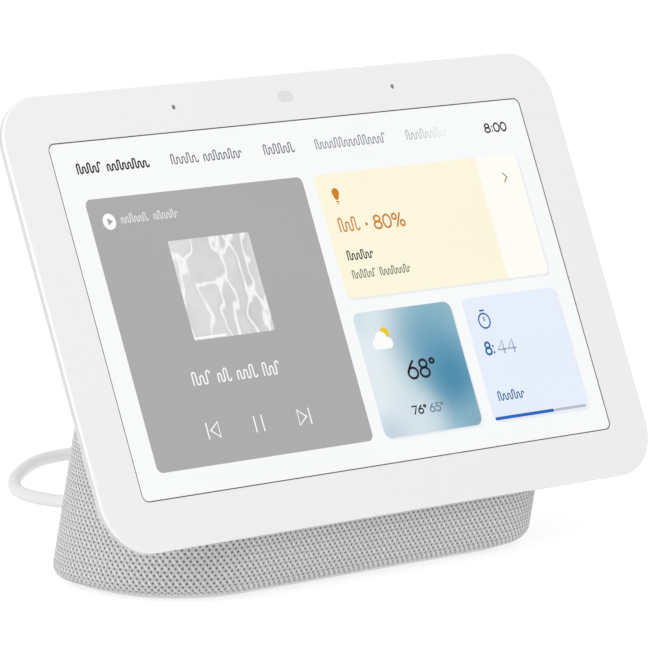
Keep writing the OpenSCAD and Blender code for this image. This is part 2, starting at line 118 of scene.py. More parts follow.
class Look:
    """A Principled material with the nodes that its pattern needs."""

    def __init__(self, name, color, roughness, **values):
        self.material = bpy.data.materials.new(name)
        self.material.use_nodes = True
        self.tree = self.material.node_tree
        self.shader = self.tree.nodes["Principled BSDF"]
        self.color = color
        self.set("Base Color", (*color, 1))
        self.set("Roughness", roughness)
        for socket, value in values.items():
            self.set(socket.replace("_", " "), value)

    def set(self, socket, value):
        self.shader.inputs[socket].default_value = value

    def node(self, kind, **values):
        """A new node. Values are given by the input's name, or set on the node itself."""
        made = self.tree.nodes.new(kind)
        for name, value in values.items():
            label = name.replace("_", " ")
            if label in made.inputs:
                made.inputs[label].default_value = value
            else:
                setattr(made, name, value)
        return made

    def link(self, source, target):
        self.tree.links.new(source, target)

    def feed(self, source, socket):
        """Links a node's result to the shader."""
        self.link(source, self.shader.inputs[socket])

    def math(self, operation, *values):
        """The result of a Math node on sockets or numbers."""
        made = self.node("ShaderNodeMath", operation=operation)
        for socket, value in zip(made.inputs, values):
            if isinstance(value, (int, float)):
                socket.default_value = value
            else:
                self.link(value, socket)
        return made.outputs[0]

    def weighted(self, *terms):
        """The sum of values, each times the share that comes before it."""
        total = 0.0
        for share, value in terms:
            total = self.math("MULTIPLY_ADD", value, share, total)
        return total

    def ramp(self, value, low, high, smooth=False, to=(0.0, 1.0)):
        """A value that goes from low to high, brought to another range."""
        made = self.node("ShaderNodeMapRange", From_Min=low, From_Max=high, To_Min=to[0],
                         To_Max=to[1], interpolation_type="SMOOTHSTEP" if smooth else "LINEAR")
        self.link(value, made.inputs["Value"])
        return made.outputs["Result"]

    def mix(self, share, first, second):
        """A colour between two, each a colour or a socket."""
        made = self.node("ShaderNodeMix", data_type="RGBA")
        colours = [socket for socket in made.inputs if socket.type == "RGBA"]
        for socket, value in zip(colours, (first, second)):
            if isinstance(value, tuple):
                socket.default_value = (*value[:3], 1)
            else:
                self.link(value, socket)
        self.link(share, made.inputs["Factor"])
        return [socket for socket in made.outputs if socket.type == "RGBA"][0]

    def place(self):
        return self.node("ShaderNodeTexCoord").outputs["Object"]

    def noise(self, scale, detail=4.0, roughness=0.5, stretch=(1, 1, 1)):
        """Noise from 0 to 1, with scale in features per metre."""
        mapping = self.node("ShaderNodeMapping", Scale=stretch)
        made = self.node("ShaderNodeTexNoise", Scale=scale, Detail=detail, Roughness=roughness)
        self.link(self.place(), mapping.inputs["Vector"])
        self.link(mapping.outputs["Vector"], made.inputs["Vector"])
        return made.outputs[0]

    def bump(self, height, distance):
        """Bump from a height of 0 to 1, over a distance in metres."""
        made = self.node("ShaderNodeBump", Strength=1.0, Distance=distance)
        self.link(height, made.inputs["Height"])
        self.feed(made.outputs["Normal"], "Normal")

    def mottle(self, scale, amount):
        """Slow variation of the colour."""
        share = self.ramp(self.noise(scale), *NOISE_RANGE)
        low, high = tinted(self.color, 1 - amount), tinted(self.color, 1 + amount)
        self.feed(self.mix(share, low, high), "Base Color")

    def uneven(self, scale, low, high):
        """Roughness that varies from place to place."""
        self.feed(self.ramp(self.noise(scale), *NOISE_RANGE, to=(low, high)), "Roughness")


def moulded(name, color, roughness, grain=0.006, **values):
    """Moulded plastic or rubber: faint mottling, a fine spark-eroded grain and uneven polish."""
    look = Look(name, linear(*color), roughness, **values)
    look.mottle(90, 0.012)
    look.uneven(260, roughness * 0.92, min(1.0, roughness * 1.08))
    look.bump(look.noise(9000, 2.0, 0.6), grain * MM)
    return look.material


def metal(name, color, roughness, brushed=(1, 1, 1), **values):
    """Rolled or brushed metal, with its scratches drawn along one direction."""
    look = Look(name, linear(*color), roughness, Metallic=1.0, **values)
    look.mottle(120, 0.05)
    look.uneven(400, roughness * 0.8, roughness * 1.25)
    look.bump(look.noise(2500, 3.0, 0.6, stretch=brushed), 0.01 * MM)
    return look.material


def circuit(name):
    """Green solder mask with copper tracks under it."""
    mask = linear(18, 74, 42)
    look = Look(name, mask, 0.35, Coat_Weight=0.4)
    brick = look.node("ShaderNodeTexBrick", Scale=120, Mortar_Size=0.012, Color1=(*mask, 1),
                      Color2=(*linear(15, 66, 38), 1), Mortar=(*linear(52, 120, 66), 1))
    look.link(look.place(), brick.inputs["Vector"])
    look.feed(brick.outputs["Color"], "Base Color")
    look.bump(brick.outputs["Fac"], 0.02 * MM)
    return look.material


# A wave texture of scale 1 has about this many waves in a metre
WAVES_A_METRE = 3.15


def cloth(name, color, pitch, **values):
    """Cloth or pulp with threads a pitch apart, in millimetres. A wave is two threads."""
    look = Look(name, linear(*color), 0.9, **values)
    wave = look.node("ShaderNodeTexWave", Scale=1 / (2 * pitch * MM) / WAVES_A_METRE,
                     Distortion=0.6, Detail=2)
    look.link(look.place(), wave.inputs["Vector"])
    dark, light = tinted(look.color, 0.8), tinted(look.color, 1.08)
    look.feed(look.mix(wave.outputs[0], dark, light), "Base Color")
    look.bump(wave.outputs[0], 0.1 * MM)
    return look.material


# Light that the polished face sends back, and the share of the screen's own light that it lets
# through: the screen's colours are corrected for both.
GLARE = 0.043
PASSED = 0.945


def without_glare(color):
    return tuple(max(0.0, c - GLARE) for c in linear(*color))


def lit(name, red, green, blue, towards=None, start=0.0, end=1.0):
    """A patch of the lit screen, under its polished glass. With towards, the colour changes to that
    one between start and end, in millimetres to the right of the screen's middle."""
    look = Look(name, (0.004, 0.004, 0.004), 0.3, Specular_IOR_Level=0.0, Coat_Weight=0.6,
                Coat_Roughness=0.03)
    first = without_glare((red, green, blue))
    if towards:
        second = without_glare(towards)
        split = look.node("ShaderNodeSeparateXYZ")
        look.link(look.place(), split.inputs[0])
        share = look.ramp(split.outputs["X"], start * MM, end * MM, smooth=True)
    else:
        second = tinted(first, 0.985)
        share = look.ramp(look.noise(18, 1.0), *NOISE_RANGE)
    look.feed(look.mix(share, first, second), "Emission Color")
    look.set("Emission Strength", 1 / PASSED)
    return look


# ---- Mesh building ----

def link(piece):
    bpy.context.scene.collection.objects.link(piece)
    return piece


def mesh_piece(name, points, faces, material, crease=35, closed=True):
    """A mesh from points in millimetres."""
    mesh = bpy.data.meshes.new(name)
    mesh.from_pydata([Vector(p) * MM for p in points], [], faces)
    if closed:
        form = bmesh.new()
        form.from_mesh(mesh)
        bmesh.ops.recalc_face_normals(form, faces=form.faces)
        form.to_mesh(mesh)
        form.free()
    mesh.materials.append(material)
    shade(mesh, crease)
    return link(bpy.data.objects.new(name, mesh))


def shade(mesh, crease=35):
    """Smooth shading, except at edges sharper than crease degrees."""
    mesh.polygons.foreach_set("use_smooth", [True] * len(mesh.polygons))
    mesh.set_sharp_from_angle(angle=radians(crease))


def settle(piece):
    """Applies the piece's modifiers to its mesh."""
    graph = bpy.context.evaluated_depsgraph_get()
    old = piece.data
    piece.data = bpy.data.meshes.new_from_object(piece.evaluated_get(graph))
    piece.modifiers.clear()
    bpy.data.meshes.remove(old)
    shade(piece.data)
    return piece


def soften(piece, width):
    """Rounds the piece's sharp edges by width millimetres."""
    bevel = piece.modifiers.new("soften", "BEVEL")
    bevel.width = width * MM
    bevel.segments = 2
    bevel.limit_method = "ANGLE"
    bevel.angle_limit = radians(30)
    return settle(piece)


def combine(piece, others, operation):
    """Joins the others to the piece, or takes them out of it, and removes them."""
    for other in others:
        tool = piece.modifiers.new("combine", "BOOLEAN")
        tool.operation = operation
        tool.solver = "EXACT"
        tool.object = other
    settle(piece)
    for other in others:
        bpy.data.objects.remove(other)
    return piece


def assign(piece, slot_name, *nodes, body="device"):
    """Gives the piece its body; its slot name is not used. It stands for the CAD nodes that are
    named, and hides them.
    """
    if nodes:
        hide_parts(*nodes)
    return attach(piece, body)


def copy_of(node, material, width, slot_name, body="device"):
    """A copy of a CAD node that stands for it: its facets are joined again before its edges are
    softened."""
    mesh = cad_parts[node].data.copy()
    form = bmesh.new()
    form.from_mesh(mesh)
    bmesh.ops.remove_doubles(form, verts=form.verts, dist=0.002 * MM)
    bmesh.ops.dissolve_limit(form, angle_limit=radians(1), verts=form.verts, edges=form.edges)
    form.to_mesh(mesh)
    form.free()
    mesh.materials.clear()
    mesh.materials.append(material)
    piece = soften(link(bpy.data.objects.new(node + "_detail", mesh)), width)
    return assign(piece, slot_name, node, body=body)


def outline(w, h, r, steps=10, at=(0, 0)):
    """Points round a rectangle with round corners, anticlockwise."""
    points = []
    for corner, (sx, sz) in enumerate(((1, 1), (-1, 1), (-1, -1), (1, -1))):
        centre = (at[0] + sx * (w / 2 - r), at[1] + sz * (h / 2 - r))
        for k in range(steps + 1):
            a = radians(90 * (corner + k / steps))
            points.append((centre[0] + r * cos(a), centre[1] + r * sin(a)))
    return points


def loft(name, loops, material, ring=False):
    """A solid through loops of equally many points. A ring joins its last loop to its first, and
    any other solid gets a flat face at each end."""
    n, last = len(loops[0]), len(loops) - 1
    points = [p for loop in loops for p in loop]
    faces = []
    for i in range(last + ring):
        a, b = i * n, (i + 1) % len(loops) * n
        faces += [(a + k, a + (k + 1) % n, b + (k + 1) % n, b + k) for k in range(n)]
    if not ring:
        faces += [tuple(range(n)), tuple(range(last * n, last * n + n))]
    return mesh_piece(name, points, faces, material)


def circle(sides):
    """Directions at even steps round a circle."""
    return [(cos(a), sin(a)) for a in (2 * pi * k / sides for k in range(sides))]


def turned(name, profile, origin, axis, material, slot_name, node):
    """A solid turned round an axis, which stands for a CAD node. The profile is a list of distances
    along the axis and radii."""
    turn = Vector((0, 0, 1)).rotation_difference(Vector(axis).normalized())
    loops = [[Vector(origin) + turn @ Vector((radius * x, radius * y, along))
              for x, y in circle(48)] for along, radius in profile]
    return assign(loft(name, loops, material), slot_name, node)


def quarter():
    """A quarter circle in steps of 15 degrees, as distances in from its two far sides."""
    return [(1 - sin(a), 1 - cos(a)) for a in (radians(15 * k) for k in range(7))]


def head_loft(name, outlines, material=None, ring=False):
    """A solid on the head, through outlines that each have a depth behind the glass's front."""
    piece = loft(name, [[(x, depth, z) for x, z in points] for points, depth in outlines],
                 material, ring)
    piece.matrix_world = HEAD
    return piece


# ---- Camera ----

camera = link(bpy.data.objects.new("camera", bpy.data.cameras.new("camera")))
camera.location = Vector((-892.7, -956.0, 245.9)) * MM
camera_aim = Vector((-3.4, -10.9, 58.95)) * MM
camera.rotation_euler = (camera_aim - camera.location).to_track_quat("-Z", "Y").to_euler()
camera.data.lens = 305.6
camera.data.clip_end = 50
bpy.context.scene.camera = camera

# ---- Cord ----

cord_plastic = moulded("cord_plastic", (216, 216, 216), 0.38, grain=0.004, Subsurface_Weight=0.05)

# The stretch from the plug's relief to the coil, as in the CAD model
CORD_ROUTE = [
    (0, 46, 10.3), (0, 56, 10.3),
    (0, 65, 10.3), (0, 71, 10.2), (0.6, 77, 9), (2, 83, 6.4), (3.6, 89, 3.6), (4.4, 95, 1.9),
    (4.2, 101, 1.65), (4.3, 107, 1.65), (6, 113, 1.65), (9.3, 119, 1.65), (13.5, 124.5, 1.65),
    (18.5, 130, 1.65), (24.3, 135.3, 1.65), (31, 140.8, 1.65), (38.3, 145.8, 1.65),
    (46.5, 149.2, 1.65), (55, 150, 1.65), (63.5, 148.4, 1.7), (71.5, 145, 1.9), (78, 140, 2.1),
    (83, 133.5, 2.3), (86, 126, 2.4), (86.6, 118.5, 2.45),
]
# The stretch from the coil to the adapter
LEAD_ROUTE = [
    (86.5, 104.5, 9), (89.5, 98, 7.6), (92.5, 91, 4.6), (95, 84, 2.3), (96, 77, 1.65),
    (95, 70.5, 1.8), (91.5, 64.8, 2.8), (86, 61, 4.2), (80, 60, 5), (72, 60, 5), (64, 60, 5),
]


def eased(t):
    """A share from 0 to 1 that starts and ends gently."""
    return t * t * (3 - 2 * t)


def coil_turns():
    """The coil's turns from its right side, clockwise from above: the lowest layer goes inwards, the
    next comes back out, and on top lie one inner and one outer turn."""
    inwards = [(r, COIL_HEIGHTS[0]) for r in COIL_RADII]
    outwards = [(r, COIL_HEIGHTS[1]) for r in reversed(COIL_RADII)]
    on_top = [(COIL_RADII[1], COIL_HEIGHTS[2]), (COIL_RADII[0], COIL_HEIGHTS[2])]
    turns = inwards + outwards + on_top
    steps, change_share, start = 48, 0.14, radians(-10)
    points = []
    for i, (radius, height) in enumerate(turns):
        last = turns[i - 1] if i else (radius, height)
        for k in range(steps):
            across = eased(min(1.0, k / steps / change_share))
            r = last[0] + (radius - last[0]) * across
            z = last[1] + (height - last[1]) * across
            a = start - 2 * pi * k / steps
            points.append(COIL_AT + Vector((r * cos(a), r * sin(a), z)))
    # the ends leave room for the bends to the two leads
    return points[2:-1]


def smoothed(points, parts):
    """Points along the smooth curve that goes through the given ones."""
    points = [Vector(p) for p in points]
    made = []
    for i in range(len(points) - 1):
        before, a = points[max(i - 1, 0)], points[i]
        b, after = points[i + 1], points[min(i + 2, len(points) - 1)]
        for t in (k / parts for k in range(parts)):
            made.append(0.5 * (2 * a + (b - before) * t
                               + (2 * before - 5 * a + 4 * b - after) * t ** 2
                               + (3 * a - before - 3 * b + after) * t ** 3))
    return made + [points[-1]]


def curve_piece(name, points, diameter, material):
    """One open curve of round section through points in millimetres."""
    curve = bpy.data.curves.new(name, "CURVE")
    curve.dimensions = "3D"
    curve.bevel_depth = diameter / 2 * MM
    curve.bevel_resolution = 5
    curve.use_fill_caps = True
    spline = curve.splines.new("POLY")
    spline.points.add(len(points) - 1)
    for target, p in zip(spline.points, points):
        target.co = (*(p * MM), 1)
    spline.use_smooth = True
    curve.materials.append(material)
    return link(bpy.data.objects.new(name, curve))


power_lead = curve_piece("power_lead", smoothed(CORD_ROUTE + coil_turns() + LEAD_ROUTE, 3), CORD_D,
                         cord_plastic)
assign(power_lead, "cord_plastic", "power_cord", "cord_coil", "adapter_lead")


def plug_profile():
    """The plug's barrel, then its grip with three finger grooves."""
    grip, groove_d = 4.1, 3.85
    profile = [(0, 1.2), (0.3, 1.9), (9.5, 1.9), (9.6, 3.6), (10, grip)]
    for at in (17.6, 19.4, 21.2):
        profile += [(at, grip), (at + 0.2, groove_d), (at + 0.7, groove_d), (at + 0.9, grip)]
    return profile + [(23.2, 4.05), (24.2, 3.6), (24.5, 3.3)]


def relief_profile(length, first_rib):
    """A tapered strain relief with flexing grooves."""
    wide, narrow, ribs = 3.3, 1.95, 6
    deep, edge_deep, plain_end = 0.5, 0.15, 2.5

    def radius(at):
        return wide + (narrow - wide) * at / length
    profile = [(0, wide - 0.3), (0.3, wide)]
    for k in range(ribs):
        at = first_rib + k * (length - first_rib - plain_end) / ribs
        profile += [(at, radius(at)), (at + 0.15, radius(at) - edge_deep),
                    (at + 0.3, radius(at) - deep), (at + 0.95, radius(at) - deep),
                    (at + 1.1, radius(at + 1.1) - edge_deep), (at + 1.25, radius(at + 1.25))]
    return profile + [(length - 0.3, radius(length - 0.3)), (length, narrow - 0.25)]


plug_plastic = moulded("plug_plastic", (216, 216, 216), 0.42, grain=0.008)
PLUG_FROM = (0, 20.5, JACK_Z)
PLUG_RELIEF_FROM = (0, 45, JACK_Z)
ADAPTER_RELIEF_FROM = (62, 60, 5)
plug = turned("dc_plug_body", plug_profile(), PLUG_FROM, (0, 1, 0), plug_plastic, "cord_plastic",
              "dc_plug")
plug_relief = turned("plug_strain_relief", relief_profile(20, 2), PLUG_RELIEF_FROM, (0, 1, 0),
                     plug_plastic, "cord_plastic", "plug_relief")
adapter_relief = turned("adapter_strain_relief", relief_profile(18, 1.6), ADAPTER_RELIEF_FROM,
                        (1, 0, 0), plug_plastic, "cord_plastic", "adapter_relief")

# ---- Mains adapter ----

adapter_plastic = moulded("adapter_plastic", (217, 217, 218), 0.3, grain=0.003, Coat_Weight=0.2,
                          Coat_Roughness=0.15)
adapter_size, adapter_low = size_of("adapter_housing")
adapter_middle = (adapter_low.x + adapter_size.x / 2, adapter_low.y + adapter_size.y / 2)


def level_loop(points, z):
    return [(x, y, z) for x, y in points]


def adapter_loop(z, inset):
    """A level outline of the adapter."""
    return level_loop(outline(adapter_size.x - 2 * inset, adapter_size.y - 2 * inset,
                              7.6 - inset * 0.8, steps=12, at=adapter_middle), z)


def adapter_housing():
    """A rounded box in two halves, with a parting groove between them."""
    bottom_r, top_r, seam, groove_deep = 2.0, 1.2, 19.0, 0.22
    loops = [adapter_loop(bottom_r * rise, bottom_r * inset) for rise, inset in quarter()][::-1]
    for z, inset in ((0, 0), (0.06, groove_deep), (0.34, groove_deep), (0.4, 0)):
        loops.append(adapter_loop(seam + z, inset))
    loops += [adapter_loop(adapter_size.z - top_r * drop, top_r * inset)
              for drop, inset in quarter()]
    return assign(loft("mains_adapter", loops, adapter_plastic), "adapter_plastic",
                  "adapter_housing")


def low_pad(name, w, h, r, at, base, rises, material):
    """A low raised pad with a softened upper edge. Its rises are heights above the base, and how
    much smaller the pad is there."""
    return loft(name, [level_loop(outline(w - less, h - less, r, at=at), base + z)
                       for z, less in rises], material)


adapter = adapter_housing()
seat = low_pad("blade_seat", 26, 15, 3, adapter_middle, adapter_size.z - 0.2,
               ((0, 0), (0.5, 0), (0.7, 0.4)), adapter_plastic)
assign(seat, "adapter_plastic")
blades = copy_of("adapter_blades",
                 metal("blade_metal", (214, 211, 204), 0.28, brushed=(1, 1, 0.05)), 0.25,
                 "blade_nickel")

# ---- Cord tie ----

tie_cloth = cloth("tie_cloth", (205, 206, 208), 0.45, Sheen_Weight=0.4)
tie_size, tie_low = size_of("cord_tie")
tie_x, tie_y = tie_low.x + tie_size.x / 2, tie_low.y + tie_size.y / 2


def cord_strap():
    """A soft strap wrapped round the coil."""
    def loop(y, less_w, less_h, r):
        return [(x, tie_low.y + y, z) for x, z in outline(
            tie_size.x - less_w, tie_size.z - less_h, r, steps=8, at=(tie_x, tie_size.z / 2))]
    edge, depth = 0.25, tie_size.y
    outer = [loop(y, 2 * inset, 2 * inset, 2.6)
             for y, inset in ((0, edge), (edge, 0), (depth - edge, 0), (depth, edge))]
    inner = [loop(y, 1.7, 1.5, 1.9) for y in (depth, 0)]
    return assign(loft("cord_strap", outer + inner, tie_cloth, ring=True), "tie_fabric", "cord_tie")


strap = cord_strap()
strap_end = low_pad("cord_strap_end", 11, 5.4, 1.2, (tie_x + 4.2, tie_y), tie_size.z,
                    ((-0.1, 0), (0.5, 0), (0.7, 0.4)), tie_cloth)
assign(strap_end, "tie_fabric")

# ---- Display head ----

face_white = Look("face_white", linear(225, 225, 225), 0.22, Coat_Weight=0.6, Coat_Roughness=0.05)
face_white.mottle(25, 0.004)
face_white.uneven(60, 0.2, 0.25)
shell_white = moulded("shell_white", (203, 203, 203), 0.48, grain=0.01)

# The cover glass: how far its front edge is rounded, the thickness of its front half, and the
# depth of the border where the screen begins
FACE_ROUND = 0.45
FACE_SHEET = 0.5
SCREEN_DEEP = 0.12
# The strip above the screen: its two microphone holes and the light sensor between them
STRIP_Z = 48.9
MIC_X = 35.6
MIC_D = 1.15
SENSOR_DEEP = 0.06
# The controls on the back
MUTE_AT = (0, 48.6)
ROCKER_AT = (83, 14)


def face_outline(inset):
    return outline(FACE_W - 2 * inset, FACE_H - 2 * inset, FACE_R - inset, steps=16)


def window(grow):
    return outline(SCREEN_W + 2 * grow, SCREEN_H + 2 * grow, SCREEN_R + grow, steps=16)


def mic_round(name, side, rings, material=None):
    """A round piece at a microphone, through rings that are given by depth and radius."""
    return head_loft(name, [([(side * MIC_X + r * x, STRIP_Z + r * z) for x, z in circle(24)], depth)
                            for depth, r in rings], material)


def face_border():
    """The white part of the cover glass: a flat ring with a rounded outer edge, two microphone holes
    and the ambient light sensor's window."""
    rounded = [(face_outline(FACE_ROUND * inset), FACE_ROUND * drop) for inset, drop in quarter()]
    border = head_loft("cover_glass_border", [
        (window(0), SCREEN_DEEP), (window(0), 0), (window(0.1), 0),
        (face_outline(FACE_ROUND + 0.15), 0), *rounded, (face_outline(0), FACE_SHEET),
        (window(0.3), FACE_SHEET), (window(0), FACE_SHEET)], face_white.material, ring=True)
    hole_rings = ((-0.1, MIC_D / 2 + 0.17), (0.07, MIC_D / 2), (0.8, MIC_D / 2))
    holes = [mic_round("mic_cutter", side, hole_rings) for side in (-1, 1)]
    sensor = outline(4.7, 2.7, 1.34, at=(0, STRIP_Z))
    holes.append(head_loft("sensor_cutter", [(sensor, -0.1), (sensor, SENSOR_DEEP)]))
    return combine(border, holes, "DIFFERENCE")


def face_edge():
    """The rear half of the cover glass, a ring whose edge shows as a fine step at the side. It takes
    the rear cover's darker white, which paints shade along the glass's side.
    """
    inset, chamfer = 0.04, 0.06
    return head_loft("cover_glass_edge", [
        (window(0), FACE_SHEET), (window(0.3), FACE_SHEET), (face_outline(inset), FACE_SHEET),
        (face_outline(inset), GLASS_T - chamfer), (face_outline(inset + chamfer), GLASS_T),
        (window(0.3), GLASS_T), (window(0), GLASS_T)], shell_white, ring=True)


assign(face_border(), "face_glass", "cover_glass")
assign(face_edge(), "face_glass", "cover_glass")

sensor_look = Look("sensor_window", linear(211, 211, 212), 0.35, Coat_Weight=0.5)
sensor_look.mottle(400, 0.02)
sensor_look.uneven(500, 0.3, 0.4)
sensor_outline = outline(4.66, 2.66, 1.32, at=(0, STRIP_Z))
assign(head_loft("light_sensor_window", [(sensor_outline, 0.02), (sensor_outline, SENSOR_DEEP)],
                 sensor_look.material), "sensor_lens")

mesh_look = Look("mic_mesh", linear(128, 128, 130), 0.6, Metallic=0.3)
mesh_look.mottle(6000, 0.3)
mesh_look.bump(mesh_look.noise(9000), 0.03 * MM)
for side, label in ((-1, "left"), (1, "right")):
    mic_disc = mic_round("mic_mesh_" + label, side, ((0.3, MIC_D / 2), (0.5, MIC_D / 2)),
                         mesh_look.material)
    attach(mic_disc, "device")


def cover_outline(inset):
    """The cover's outline, with points along its straight sides as well as round its corners."""
    steps, along = 16, 20
    corners = outline(FACE_W - 2 * inset, FACE_H - 2 * inset, FACE_R, steps)
    points = []
    for k in range(0, len(corners), steps + 1):
        (x0, z0), (x1, z1) = corners[k + steps], corners[(k + steps + 1) % len(corners)]
        points += corners[k:k + steps + 1]
        points += [(x0 + (x1 - x0) * t / (along + 1), z0 + (z1 - z0) * t / (along + 1))
                   for t in range(1, along + 1)]
    return points


def cover_at(angle, wall=0.0):
    """Outline and depth where the cover's bulge has turned by that angle, outside or in its wall."""
    inset = PILLOW_W * (1 - cos(angle)) + wall
    return cover_outline(inset), GLASS_T + PILLOW_H * sin(angle) - wall


def slot_outline(length, width, at, upright=False):
    size = (width, length) if upright else (length, width)
    return outline(*size, width / 2 - 0.001, steps=12, at=at)


def slot_cutter(name, length, width, at, levels, upright=False):
    """A cutter for a slot. Its levels are depths, and how much larger the slot is there."""
    return head_loft(name, [(slot_outline(length + more, width + more, at, upright), depth)
                            for depth, more in levels])


def rear_cover():
    """The shallow pillow behind the glass, hollow, with the microphone switch's boss, hollow and
    slot, and the volume rocker's slot."""
    angles = [radians(a) for a in np.linspace(6, 90, 29)]
    middle = cover_outline(PILLOW_W + 1.5)
    back = GLASS_T + PILLOW_H
    inside = [cover_at(a, COVER_WALL) for a in angles[3::2]]
    rim = [(cover_outline(inset), GLASS_T + depth) for inset, depth in (
        (COVER_WALL, 0.02), (0.14, 0.02), (0.14, 0.16), (0.03, 0.26))]
    shell = head_loft("rear_cover_shell", [
        (middle, back - COVER_WALL), *reversed(inside), *rim, *(cover_at(a) for a in angles),
        (middle, back)], shell_white)
    boss, boss_back = slot_outline(21, 5, MUTE_AT), GLASS_T + 3.75
    boss = head_loft("switch_boss", [(boss, boss_back - 1), (boss, boss_back)], shell_white)
    combine(shell, [boss], "UNION")
    return combine(shell, [
        slot_cutter("hollow_cutter", 14, 4.6, MUTE_AT,
                    ((4.7, -0.8), (4.85, -0.25), (5.2, 0), (12, 3))),
        slot_cutter("knob_cutter", 11.6, 3, MUTE_AT, ((2, 0), (9, 0))),
        slot_cutter("rocker_cutter", 22.8, 3.9, ROCKER_AT, ((1.4, 0), (4.6, 0), (5.2, 0.5)),
                    upright=True)], "DIFFERENCE")


assign(rear_cover(), "white_plastic", "rear_cover")

switch_plastic = moulded("switch_plastic", (186, 187, 189), 0.45)
rocker_plastic = moulded("rocker_plastic", (212, 212, 212), 0.4)
copy_of("mute_slider", switch_plastic, 0.12, "grey_plastic", "mute_switch_knob")
copy_of("volume_rocker", rocker_plastic, 0.15, "white_plastic", "volume_button")

# ---- Lit screen ----

# Depths of the picture's layers behind the glass's front, and their thickness
BACK_LAYER, CARD_LAYER, DETAIL_LAYER, TOP_LAYER = 0.10, 0.075, 0.05, 0.025
LAYER_T = 0.015
CARD_R = 1.7


def picture(name, layer, look, *shapes):
    """One colour of the screen's picture. A shape is a filled outline, or a ring or a line between
    two edges with equally many points."""
    points, faces = [], []
    for kind, *edges in shapes:
        first, n = len(points), len(edges[0])
        for depth in (layer, layer + LAYER_T):
            points += [(x, depth, z) for edge in edges for x, z in edge]
        deep = n * len(edges)
        for k in range(n - 1 if kind == "line" else n):
            a, b = first + k, first + (k + 1) % n
            for edge in range(0, deep, n):
                faces.append((a + edge, b + edge, b + edge + deep, a + edge + deep))
            if kind != "fill":
                faces += [(a, b, b + n, a + n), (a + deep, b + deep, b + n + deep, a + n + deep)]
        if kind == "line":
            faces += [(e, e + n, e + n + deep, e + deep) for e in (first, first + n - 1)]
        if kind == "fill":
            faces += [tuple(range(first + side, first + side + n)) for side in (0, deep)]
    piece = mesh_piece(name, points, faces, look.material, crease=20)
    piece.matrix_world = HEAD
    assign(piece, "panel_glass")


def card(x0, x1, z0, z1, r=CARD_R):
    return "fill", outline(x1 - x0, z1 - z0, r, at=((x0 + x1) / 2, (z0 + z1) / 2))


def bar(x0, x1, z, height):
    """A round-ended bar."""
    return "fill", outline(x1 - x0, height, height / 2 - 0.01, steps=5, at=((x0 + x1) / 2, z))


def arc(x, z, rx, rz, start, end, steps):
    return [(x + rx * cos(radians(a)), z + rz * sin(radians(a)))
            for a in np.linspace(start, end, steps)]


def disc(x, z, r):
    return "fill", [(x + r * across, z + r * up) for across, up in circle(32)]


def oval(x, z, rx, rz):
    """Points round an oval, for a stroke that is a loop."""
    return arc(x, z, rx, rz, 0, 345, 24)


def shifted(points, distance, loop):
    """A line's points moved sideways, with mitred corners."""
    made, n = [], len(points)
    for k in range(n):
        before = points[(k - 1) % n] if loop or k else points[k]
        after = points[(k + 1) % n] if loop or k < n - 1 else points[k]
        here = points[k]
        sides = []
        for a, b in ((before, here), (here, after)):
            length = dist(a, b)
            if length:
                sides.append(((b[1] - a[1]) / length, (a[0] - b[0]) / length))
        x, z = sum(s[0] for s in sides) / len(sides), sum(s[1] for s in sides) / len(sides)
        reach = distance / max(0.35, x * x + z * z)
        made.append((here[0] + x * reach, here[1] + z * reach))
    return made


def stroke(points, width, loop=False):
    """A line of even width: a ring if it is a loop, and otherwise with round ends."""
    if loop:
        return "ring", shifted(points, width / 2, True), shifted(points, -width / 2, True)
    edges = []
    for side in (1, -1):
        edge = shifted(points, side * width / 2, False)
        for end, beyond, last in ((points[0], points[1], False), (points[-1], points[-2], True)):
            length = dist(end, beyond)
            x, z = (end[0] - beyond[0]) / length, (end[1] - beyond[1]) / length
            turn = side if last else -side
            cap = []
            for a in (30, 60, 85):
                out = width / 2 * sin(radians(a))
                off = turn * width / 2 * cos(radians(a))
                cap.append((end[0] + x * out + z * off, end[1] + z * out - x * off))
            edge = edge + cap if last else cap[::-1] + edge
        edges.append(edge)
    return "line", *edges


def scribble(x0, x1, z, height, weight, rhythm):
    """A running squiggle in place of a word. Where the rhythm has a 1, it reaches higher."""
    count = max(2, round((x1 - x0 - weight) / (0.42 * height)))
    step = (x1 - x0 - weight) / count
    low, high = z - height / 2, z + height / 2
    points = [(x0 + weight / 2, low + weight / 2)]
    for k in range(count):
        x = x0 + weight / 2 + k * step
        if k % 2 == 0:
            tall = height * 0.42 * rhythm[k // 2 % len(rhythm)]
            points += arc(x + step / 2, high + tall - step / 2 - weight / 2, step / 2, step / 2,
                          180, 0, 7)
        else:
            points += arc(x + step / 2, low + step / 2 + weight / 2, step / 2, step / 2,
                          180, 360, 7)
    return stroke(points, weight)


def words(z, height, weight, *spans):
    """Squiggles in one line, each from its start to its end with its rhythm."""
    return [scribble(x0, x1, z, height, weight, rhythm) for x0, x1, rhythm in spans]


# Numerals and signs of unit height: the width, the ovals, and the lines
GLYPHS = {
    "0": (0.58, [(0.29, 0.5, 0.29, 0.5)], []),
    "4": (0.6, [], [[(0.44, 0), (0.44, 1), (0, 0.28), (0.6, 0.28)]]),
    "5": (0.56, [], [[(0.5, 1), (0.12, 1)] + arc(0.25, 0.32, 0.31, 0.32, 125, -145, 18)]),
    "6": (0.58, [(0.29, 0.31, 0.29, 0.31)], [[(0.42, 1), (0.26, 0.8), (0.11, 0.58), (0.02, 0.36)]]),
    "7": (0.54, [], [[(0, 1), (0.54, 1), (0.17, 0)]]),
    "8": (0.56, [(0.28, 0.27, 0.28, 0.27), (0.28, 0.77, 0.225, 0.23)], []),
    ":": (0.12, [], [[(0.06, 0.1), (0.06, 0.14)], [(0.06, 0.62), (0.06, 0.66)]]),
    "o": (0.26, [(0.13, 0.87, 0.13, 0.13)], []),
    "%": (0.86, [(0.16, 0.78, 0.16, 0.22), (0.7, 0.22, 0.16, 0.22)], [[(0.63, 1), (0.23, 0)]]),
}


